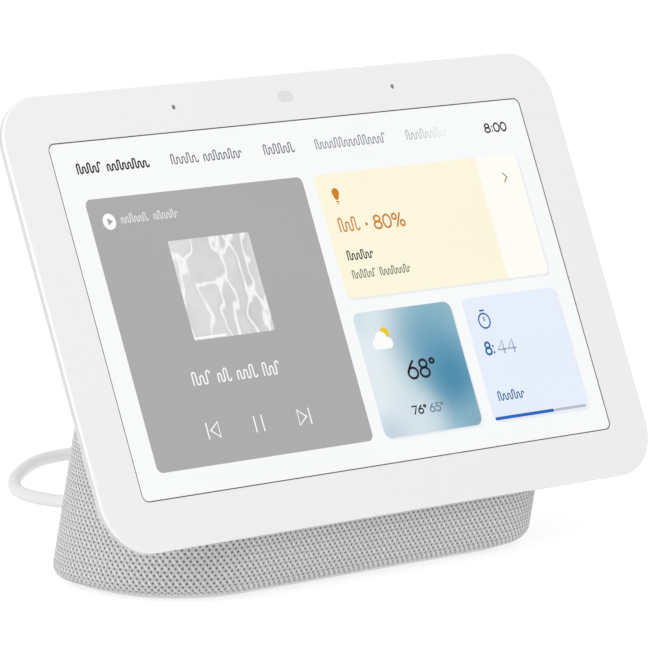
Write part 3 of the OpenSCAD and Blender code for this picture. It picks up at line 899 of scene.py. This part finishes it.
def numerals(signs, x0, x1, z0, z1, weight):
    """Numerals set between x0 and x1, with strokes of that width in millimetres."""
    gap, height = 0.16, z1 - z0 - weight
    widths = [GLYPHS[sign][0] for sign in signs]
    stretch = (x1 - x0 - weight) / (sum(widths) + gap * (len(signs) - 1))
    shapes, x = [], x0 + weight / 2
    for sign in signs:
        width, ovals, lines = GLYPHS[sign]
        parts = [(oval(*part), True) for part in ovals] + [(line, False) for line in lines]
        for points, loop in parts:
            placed = [(x + px * stretch, z0 + weight / 2 + pz * height) for px, pz in points]
            shapes.append(stroke(placed, weight, loop))
        x += (width + gap) * stretch
    return shapes


def weather_look():
    """A misty sky: soft patches of blue and grey that run into each other."""
    look = lit("weather_sky", 226, 235, 240, towards=(150, 188, 204), start=3, end=30)
    patches = (
        ((2, -6), 9, (205, 226, 233)), ((24, -15), 17, (118, 167, 190)),
        ((29, -24), 15, (78, 140, 172)), ((14, -35), 13, (214, 226, 233)),
        ((4, -37), 9, (196, 212, 226)), ((34, -37), 7, (138, 172, 190)),
    )
    place = look.place()
    color = look.shader.inputs["Emission Color"].links[0].from_socket
    for (x, z), radius, patch in patches:
        away = look.node("ShaderNodeVectorMath", operation="DISTANCE")
        look.link(place, away.inputs[0])
        away.inputs[1].default_value = (x * MM, 0, z * MM)
        share = look.ramp(away.outputs["Value"], radius * MM, 1 * MM, smooth=True, to=(0, 0.9))
        color = look.mix(share, color, without_glare(patch))
    look.feed(color, "Emission Color")
    return look


def art_look():
    """An abstract pattern: pale silk with fine bright creases."""
    look = lit("cover_art", 214, 214, 214)
    crease = look.noise(75, 2.0, 0.55, stretch=(1.6, 1, 0.8))
    silk = look.mix(look.ramp(look.noise(55, 3.0), 0.35, 0.65), without_glare((202, 202, 203)),
                    without_glare((222, 222, 223)))
    folded = look.mix(look.ramp(crease, 0.5, 0.75), silk, without_glare((226, 226, 227)))
    near = look.math("ABSOLUTE", look.math("SUBTRACT", crease, 0.5))
    line = look.ramp(near, 0.035, 0.004, smooth=True)
    look.feed(look.mix(line, folded, without_glare((246, 246, 246))), "Emission Color")
    return look


ink = lit("ink", 36, 37, 41)
white_ink = lit("white_ink", 252, 252, 252)
blue = lit("blue", 20, 110, 160)

picture("screen_outline", BACK_LAYER - 0.02, lit("outline", 104, 106, 108),
        ("ring", window(-0.01), window(-0.3)))
picture("screen_background", BACK_LAYER, lit("backdrop", 248, 249, 250), ("fill", window(-0.02)))

# The menu along the top
MENU_Z, MENU_H = 36, 1.9
picture("menu_current", DETAIL_LAYER, ink,
        *words(MENU_Z, MENU_H, 0.42, (-69.9, -62.4, (1, 0)), (-60.8, -47.7, (0, 0, 1))),
        *numerals("8:00", 62.2, 70.0, 34.75, 37.3, 0.42))
picture("menu_others", DETAIL_LAYER, lit("ink_soft", 118, 120, 124),
        *words(MENU_Z, MENU_H, 0.32, (-40.9, -32.3, (1, 0, 0)), (-30.7, -18.5, (0, 0, 1)),
               (-11.5, -1.6, (1, 0, 1))))
picture("menu_far", DETAIL_LAYER, lit("ink_pale", 150, 152, 156),
        *words(MENU_Z, MENU_H, 0.32, (5.3, 28.6, (1, 0, 0, 0, 1))))
picture("menu_fading", DETAIL_LAYER,
        lit("ink_fading", 186, 188, 191, towards=(236, 238, 240), start=36, end=50),
        *words(MENU_Z, MENU_H, 0.32, (35.6, 49.6, (1, 0, 0))))

# Soft shadows below and to the right of the three pale cards
picture("card_shadows", CARD_LAYER + 0.014, lit("card_shadow", 236, 238, 240),
        card(2.3, 71.0, -2.7, 28.6), card(2.3, 35.0, -37.4, -6.2, 2.2),
        card(38.8, 71.5, -37.3, -6.2))

# The music card, with its player's back, pause and forward signs as outlines
MUSIC_Z = -16.6
PLAYER_LOW, PLAYER_HIGH, PLAYER_LINE = -30.5, -26.8, 0.36


def post(x):
    return stroke([(x, PLAYER_LOW), (x, PLAYER_HIGH)], PLAYER_LINE)


def arrow(x, tip):
    """An outlined arrowhead with an upright side at x, drawn anticlockwise."""
    side = [(x, PLAYER_LOW), (x, PLAYER_HIGH)]
    middle = (PLAYER_LOW + PLAYER_HIGH) / 2
    return stroke((side if tip < x else side[::-1]) + [(tip, middle)], PLAYER_LINE, loop=True)


picture("music_card", CARD_LAYER, lit("music_grey", 176, 175, 175), card(-70.1, -1.9, -36.75, 28.9))
picture("music_art", DETAIL_LAYER, art_look(), card(-48.6, -23.3, -7.2, 17, 0.6))
picture("music_marks", TOP_LAYER, white_ink, disc(-64.4, 23.2, 1.95), bar(-48.5, -38.4, -6.7, 0.5),
        *words(MUSIC_Z, 2.4, 0.36, (-52.5, -46.7, (1, 0)), (-44.7, -40.4, (0, 1)),
               (-38.6, -32.2, (0, 0, 1)), (-30.4, -25.0, (1, 0))))
picture("music_label", DETAIL_LAYER, lit("white_soft", 224, 224, 224),
        *words(23.2, 1.6, 0.3, (-60.8, -52.4, (0, 0, 1)), (-50.8, -43.2, (0, 1, 0))))
picture("music_glyph", TOP_LAYER - 0.02, lit("glyph_grey", 168, 168, 168),
        ("fill", [(-64.9, 24.1), (-64.9, 22.3), (-63.3, 23.2)]))
picture("music_controls", TOP_LAYER, white_ink, post(-52.1), arrow(-48.5, -51.1), post(-37.2),
        post(-34.8), arrow(-23.5, -20.9), post(-19.8))

# The lamp's card, filled up to its level
LAMP_CARD = (2, 70.4, -2.1, 28.9)
LAMP_LEVEL = 56.25
picture("lamp_card", CARD_LAYER, lit("lamp_right", 254, 252, 246), card(*LAMP_CARD))
picture("lamp_level", CARD_LAYER - 0.012, lit("lamp_left", 252, 246, 222),
        ("fill", [point for point in card(*LAMP_CARD)[1] if point[0] < LAMP_LEVEL]
         + [(LAMP_LEVEL, LAMP_CARD[2]), (LAMP_LEVEL, LAMP_CARD[3])]))
picture("lamp_marks", DETAIL_LAYER, lit("orange", 206, 133, 0), disc(7.5, 24.1, 1.15),
        ("fill", [(6.55, 23.4), (7.05, 22.3), (7.95, 22.3), (8.45, 23.4)]),
        bar(6.95, 8.05, 21.85, 0.3), bar(7.15, 7.85, 21.4, 0.26), disc(14.75, 15.6, 0.42),
        *words(15.5, 2.6, 0.4, (5.7, 12.5, (1, 0))), *numerals("80%", 17, 27.5, 13.9, 17.6, 0.5))
picture("lamp_name", DETAIL_LAYER, ink, *words(8.0, 1.8, 0.34, (5.7, 14.3, (1, 0, 0))))
picture("lamp_room", DETAIL_LAYER, lit("room_grey", 132, 128, 116),
        *words(3.3, 1.6, 0.3, (5.7, 13.4, (1, 0, 1)), (14.8, 24.9, (1, 0, 0))))
picture("lamp_chevron", DETAIL_LAYER, lit("amber_grey", 164, 145, 98),
        stroke([(64.2, 24.3), (65.3, 23.2), (64.2, 22.1)], 0.36))

# The weather's card
picture("weather_card", CARD_LAYER, weather_look(), card(2, 34.5, -36.9, -5.75, 2.2))
picture("weather_sun", DETAIL_LAYER, lit("sun", 236, 204, 60), disc(10.7, -11.5, 1.5))
picture("weather_cloud", TOP_LAYER, white_ink, disc(7.4, -13.9, 1.4), disc(9.2, -12.9, 2.0),
        disc(11.2, -13.9, 1.4), bar(6.2, 12.4, -14.3, 2.0))
picture("weather_now", DETAIL_LAYER, lit("slate", 40, 56, 66),
        *numerals("68o", 14.6, 24.4, -23.7, -18.8, 0.62))
picture("weather_high", DETAIL_LAYER, lit("slate_2", 52, 66, 76),
        *numerals("76o", 12.8, 17.7, -32.2, -29.9, 0.4))
picture("weather_low", DETAIL_LAYER, lit("slate_pale", 116, 142, 158),
        *numerals("65o", 18.5, 23.4, -32.2, -29.9, 0.36))

# The timer's card
picture("timer_card", CARD_LAYER, lit("timer_blue", 231, 238, 252), card(38.5, 70.9, -36.75, -5.75))
picture("timer_clock", DETAIL_LAYER, blue, stroke(oval(44.3, -11.8, 1.85, 1.85), 0.42, loop=True),
        stroke([(44.3, -11.8), (44.3, -10.9)], 0.36), stroke([(43.6, -9.2), (45.0, -9.2)], 0.4))
picture("timer_minutes", DETAIL_LAYER, blue, *numerals("8:", 41.8, 45.2, -20.5, -16.9, 0.55))
picture("timer_seconds", DETAIL_LAYER, lit("blue_pale", 142, 162, 186),
        *numerals("44", 46.0, 52.5, -20.5, -16.9, 0.45))
picture("timer_name", DETAIL_LAYER, blue, *words(-31.1, 1.8, 0.34, (41.8, 50.8, (1, 0, 0))))
picture("timer_done", TOP_LAYER, lit("blue_deep", 10, 108, 192), bar(38.9, 59.1, -36.15, 0.8))
picture("timer_left", TOP_LAYER, lit("track", 189, 193, 204), bar(59.3, 70.2, -36.15, 0.7))

# ---- Knit sleeve ----

STRAIGHT_X, STRAIGHT_Y = BASE_HALF_W - BASE_R, BASE_HALF_D - BASE_R
STITCH = 1.6
COLUMNS = 2 * round((4 * (STRAIGHT_X + STRAIGHT_Y) + 2 * pi * BASE_R) / STITCH)
ROW = 0.4525
ROWS_A_STITCH = 4
SLEEVE_TOP = 101.5
HEM = 2.2
PLAIN_ROWS = 6
HOLE_DEEP = 0.15
STRAND_PROUD = 0.06
# How far the sleeve runs into the head's back, and the radius of its opening for the socket
TUCKED = 0.15
SOCKET_R = 6.3


def knit_look():
    """A knit of slanting strands that cross over and under, with a small hole in each mesh. Its
    holes, the grooves between its strands and its rising strands are painted darker: painted shade.
    """
    look = Look("knit", linear(208, 208, 207), 0.88, Sheen_Weight=0.3, Sheen_Roughness=0.6)
    split = look.node("ShaderNodeSeparateXYZ")
    look.link(look.node("ShaderNodeUVMap", uv_map="knit").outputs["UV"], split.inputs[0])
    wander = look.math("SUBTRACT", look.noise(900, 2.0), 0.5)
    across, up = (look.math("MULTIPLY", 2 * pi, look.weighted(
        (1, split.outputs[axis]), (0.16, wander))) for axis in "XY")

    def wave(*terms):
        return look.math("COSINE", look.weighted(*terms))
    # each slanting wave is -1 along its strands' middles, and 1 halfway between them
    falling, rising = wave((1, across), (1, up)), wave((1, across), (-1, up))
    column, row, half_row = wave((1, across)), wave((1, up)), wave((2, up))
    # a strand goes over the other family at one crossing, and under it at the next
    rise = 0.35
    over = look.weighted((-1, falling), (-rise, column), (rise, row))
    under = look.weighted((-1, rising), (rise, column), (-rise, row))
    crown = look.math("MAXIMUM", over, under)
    mesh_open = look.weighted((-0.59, falling), (-0.41, rising), (-0.16, half_row))
    fibre = look.noise(4800, 3.0, 0.65)
    patch = look.ramp(look.noise(60), *NOISE_RANGE)
    lighter = look.mix(patch, linear(201, 201, 200), linear(209, 209, 208))
    # painted shade: where a strand of the rising slant lies on top, the yarn is painted darker than
    # where one of the falling slant does
    front = look.ramp(look.math("SUBTRACT", over, under), -0.5, 0.7, smooth=True)
    slant_shaded_yarn = look.mix(front, linear(180, 180, 179), lighter)
    # painted shade: the yarn is painted darker down in the grooves between the strands' crowns
    shaded = look.mix(look.ramp(crown, -0.6, 1.2), linear(138, 138, 138), slant_shaded_yarn)
    fuzzy = look.mix(look.ramp(fibre, 0.35, 0.9), shaded, linear(210, 210, 209))
    # painted shade: each hole is painted dark grey, as the shade inside it
    hole = look.ramp(mesh_open, -0.3, -1.1, smooth=True)
    look.feed(look.mix(hole, fuzzy, linear(80, 80, 81)), "Base Color")
    look.bump(look.weighted((0.35, crown), (0.4, fibre)), 0.16 * MM)
    return look.material


def sleeve_plan():
    """The middles of the base's corners and sides, and the directions out from them, for each column
    of the knit from the middle of the back."""
    x, y, corner = STRAIGHT_X, STRAIGHT_Y, pi / 2 * BASE_R
    marks = np.cumsum([0, x, corner, 2 * y, corner, 2 * x, corner, 2 * y, corner, x])
    along = marks[-1] * np.arange(COLUMNS) / COLUMNS
    middles = np.stack([np.interp(along, marks, [0, -x, -x, -x, -x, x, x, x, x, 0]),
                        np.interp(along, marks, [y, y, y, -y, -y, -y, -y, y, y, y])], axis=-1)
    angle = pi / 2 * np.interp(along, marks, [1, 1, 2, 2, 3, 3, 4, 4, 5, 5])
    return middles, np.stack([np.cos(angle), np.sin(angle)], axis=-1)


def sleeve_grid():
    """Points and outward directions over the base, by row and column."""
    middles, outs = sleeve_plan()
    # the profile: in under the base, round its lower edge, then up
    bend = pi / 2 * BASE_ROUND
    rows = int((HEM + bend + SLEEVE_TOP - BASE_Z - BASE_ROUND) / ROW)
    points, normals = np.zeros((rows, COLUMNS, 3)), np.zeros((rows, COLUMNS, 3))
    for j in range(rows):
        beyond = j * ROW - HEM
        a = min(max(beyond, 0), bend) / BASE_ROUND
        inset = BASE_ROUND * (1 - sin(a)) + max(-beyond, 0)
        z = BASE_Z + BASE_ROUND * (1 - cos(a)) + max(beyond - bend, 0)
        narrow = (STRAIGHT_X - BASE_TAPER * (z - BASE_Z)) / STRAIGHT_X
        points[j, :, 0] = middles[:, 0] * narrow + outs[:, 0] * (BASE_R - inset)
        points[j, :, 1] = (middles[:, 1] + outs[:, 1] * (BASE_R - inset)
                           + BASE_Y - BASE_LEAN * (z - BASE_Z))
        points[j, :, 2] = z
        normals[j, :, :2] = outs * sin(a)
        normals[j, :, 2] = -cos(a)
    return points, normals


def behind_head(points):
    """How far points lie behind the head's rear surface. It is negative inside the head or before
    it, and a millimetre for points that are past the head's edge."""
    y, z = points[..., 1] - HEAD_Y, points[..., 2] - HEAD_Z
    depth = y * cos(TILT) - z * sin(TILT)
    up = y * sin(TILT) + z * cos(TILT)
    edge = np.minimum(FACE_W / 2 - np.abs(points[..., 0]), FACE_H / 2 - np.abs(up))
    share = np.clip(edge / PILLOW_W, 0, 1)
    surface = GLASS_T + PILLOW_H * np.sqrt(1 - (1 - share) ** 2)
    return np.where(edge > 0, depth - surface, 1.0)


def knit_sleeve():
    """The sleeve as a grid of stitches, without the part that the head covers and the opening for
    the socket."""
    points, normals = sleeve_grid()
    rows = len(points)
    u, v = np.arange(COLUMNS) / 2, np.arange(rows) / ROWS_A_STITCH
    field = np.cos(2 * pi * u)[None, :] * np.cos(2 * pi * v)[:, None]
    lift = np.where(field > 0, -HOLE_DEEP * field, -STRAND_PROUD * field)
    lift[:PLAIN_ROWS] = 0
    clear_of_socket = np.hypot(points[..., 0], points[..., 2] - JACK_Z) > SOCKET_R
    kept = (behind_head(points) > -TUCKED) & (clear_of_socket | (points[..., 1] < 0))
    placed = points + normals * (lift - STRAND_PROUD)[..., None]
    number = np.arange(rows * COLUMNS).reshape(rows, COLUMNS)
    right = np.roll(number, -1, axis=1)
    whole = kept[:-1] & kept[1:]
    whole &= np.roll(whole, -1, axis=1)
    faces = np.stack([number[:-1], right[:-1], right[1:], number[1:]], axis=-1)[whole]
    used, faces_in = np.unique(faces, return_inverse=True)
    mesh = bpy.data.meshes.new("knit_sleeve")
    mesh.from_pydata(placed.reshape(-1, 3)[used] * MM, [], faces_in.reshape(-1, 4).tolist())
    # the last column's faces end at the number of columns, not back at 0
    row, column = np.divmod(faces, COLUMNS)
    last = column.max(axis=1, keepdims=True) > COLUMNS / 2
    column = np.where((column == 0) & last, COLUMNS, column)
    layer = mesh.uv_layers.new(name="knit")
    uv = np.stack([column / 2, row / ROWS_A_STITCH], axis=-1)
    layer.data.foreach_set("uv", uv.reshape(-1).astype(np.float32))
    mesh.materials.append(knit_look())
    shade(mesh, 180)
    return link(bpy.data.objects.new("knit_sleeve", mesh))


sleeve = assign(knit_sleeve(), "knit", "fabric_sleeve")

# ---- Socket surround ----

turned("socket_surround", [
    (-2.8, 5.9), (-0.4, 5.9), (-0.3, 6.9), (0.35, 6.9), (0.6, 6.65), (0.7, 6.3), (0.7, 5.0),
    (0.5, 4.7), (-0.2, 4.45), (-2.8, 4.45)],
    (0, JACK_Y, JACK_Z), (0, 1, -BASE_LEAN), shell_white, "white_plastic", "jack_bezel")

# ---- Finishes of the CAD pieces that stay as they are ----

foam = moulded("foam", (52, 52, 54), 0.9, grain=0.05)
paper = cloth("cone_paper", (92, 92, 94), 0.5)
spider_cloth = cloth("spider_cloth", (206, 176, 104), 0.6)
FINISHES = (
    (metal("steel", (190, 192, 195), 0.32, brushed=(1, 0.05, 1)),
     "backlight_unit mute_switch rocker_bracket tact_switches base_screws neck_screws board_shield "
     "board_screws speaker_yoke speaker_screws"),
    (metal("aluminium", (205, 207, 210), 0.38, brushed=(0.05, 1, 1)), "mid_frame heat_spreader"),
    (foam, "panel_gasket mic_seals speaker_gasket speaker_surround"),
    (moulded("black_plastic", (48, 48, 50), 0.5), "switch_lever dc_jack"),
    (circuit("circuit_board"), "sensor_board button_board main_board"),
    (moulded("flex_film", (196, 132, 52), 0.35), "wifi_antennas display_flex"),
    (moulded("clear_film", (220, 224, 228), 0.2), "touch_sensor"),
    (moulded("panel_glass", (34, 34, 38), 0.12), "display_panel"),
    (metal("gold_can", (206, 176, 110), 0.3), "mic_left mic_right"),
    (moulded("sensor_lens", (225, 226, 228), 0.25), "light_sensor"),
    (moulded("shell_plastic", (214, 214, 214), 0.55), "base_shell"),
    (moulded("plate_plastic", (226, 226, 227), 0.5, grain=0.02), "base_plate"),
    (moulded("foot_rubber", (243, 243, 244), 0.75, grain=0.03), "rubber_foot"),
    (metal("cast_plate", (120, 120, 124), 0.6), "ballast_plate"),
    (moulded("ivory_plastic", (226, 220, 204), 0.45), "board_connectors"),
    (moulded("wire_cover", (190, 54, 46), 0.4), "wire_harness"),
    (moulded("painted_basket", (62, 64, 68), 0.4), "speaker_basket"),
    (metal("ferrite", (88, 88, 92), 0.65), "speaker_magnet"),
    (paper, "speaker_cone dust_cap"),
    (metal("copper_wire", (196, 120, 76), 0.35, brushed=(0.1, 0.1, 1)), "voice_coil"),
    (spider_cloth, "speaker_spider"),
)
for finish, names in FINISHES:
    for piece in (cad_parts[name] for name in names.split()):
        if not piece.material_slots:
            piece.data.materials.append(finish)
        for material_slot in piece.material_slots:
            material_slot.material = finish

# ---- Speaker's flexible rings ----

DRIVER_Z = 41
DRIVER_Y = BASE_Y + BASE_HALF_D - FABRIC_T - SHELL_WALL - BASE_LEAN * (DRIVER_Z - BASE_Z)
DRIVER = (Matrix.Translation((0, DRIVER_Y, DRIVER_Z))
          @ Matrix.Rotation(atan(BASE_LEAN) - pi / 2, 4, "X"))
SECTORS = 12


def flexible_ring(node, material, profile):
    """A ring that joins the moving cone to the basket. It is made of sectors side by side, each
    reaching outwards from the cone, with their edges meeting. The profile is radii and heights."""
    half = pi / SECTORS
    for k in range(SECTORS):
        middle = 2 * half * k
        piece = loft(f"{node}_{k + 1:02d}", [
            [DRIVER @ Vector((r * cos(a), r * sin(a), z)) for r, z in profile]
            for a in np.linspace(middle - half, middle + half, 7)], material)
        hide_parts(node)
        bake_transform(piece)


# the spider is a corrugated disc, and the surround a half roll
SPIDER_T = 0.3
spider_top = [(6.45, -7.9), *((r, -7.8 - 0.3 * cos(pi * (r - 9)))
                              for r in np.linspace(8.2, 12.9, 24)), (13.7, -8.1)]
flexible_ring("speaker_spider", spider_cloth,
              spider_top + [(r, z - SPIDER_T) for r, z in reversed(spider_top)])
flexible_ring("speaker_surround", foam,
              arc(16.45, -2.5, 1.5, 1.5, 0, 180, 15) + arc(16.45, -2.5, 1.1, 1.1, 180, 0, 15))

# ---- Floor and light ----

FLOOR_HALF = 9000
floor_look = Look("floor", (0.34, 0.34, 0.34), 0.85, Specular_IOR_Level=0.1,
                  Emission_Color=(1, 1, 1, 1), Emission_Strength=0.74)
floor_look.mottle(3, 0.003)
floor = mesh_piece("floor", [(x * FLOOR_HALF, y * FLOOR_HALF, -0.05) for x, y in
                             ((-1, -1), (1, -1), (1, 1), (-1, 1))],
                   [(0, 1, 2, 3)], floor_look.material, closed=False)


def lamp(name, at, size, power):
    """A square soft light that shines at the object. Places are in metres."""
    data = bpy.data.lights.new(name, "AREA")
    data.size, data.energy = size, power
    made = link(bpy.data.objects.new(name, data))
    made.location = at
    towards = Vector((0, 0, 0.05)) - Vector(at)
    made.rotation_euler = towards.to_track_quat("-Z", "Y").to_euler()


lamp("key_light", (-1.5, 0.1, 1.3), 1.2, 15)
lamp("front_light", (-0.5, -1.5, 1.5), 0.8, 8)

world = bpy.data.worlds.new("studio")
world.use_nodes = True
world.node_tree.nodes["Background"].inputs["Color"].default_value = (1, 1, 1, 1)
world.node_tree.nodes["Background"].inputs["Strength"].default_value = 0.82
bpy.context.scene.world = world
bpy.context.scene.view_settings.view_transform = "Standard"
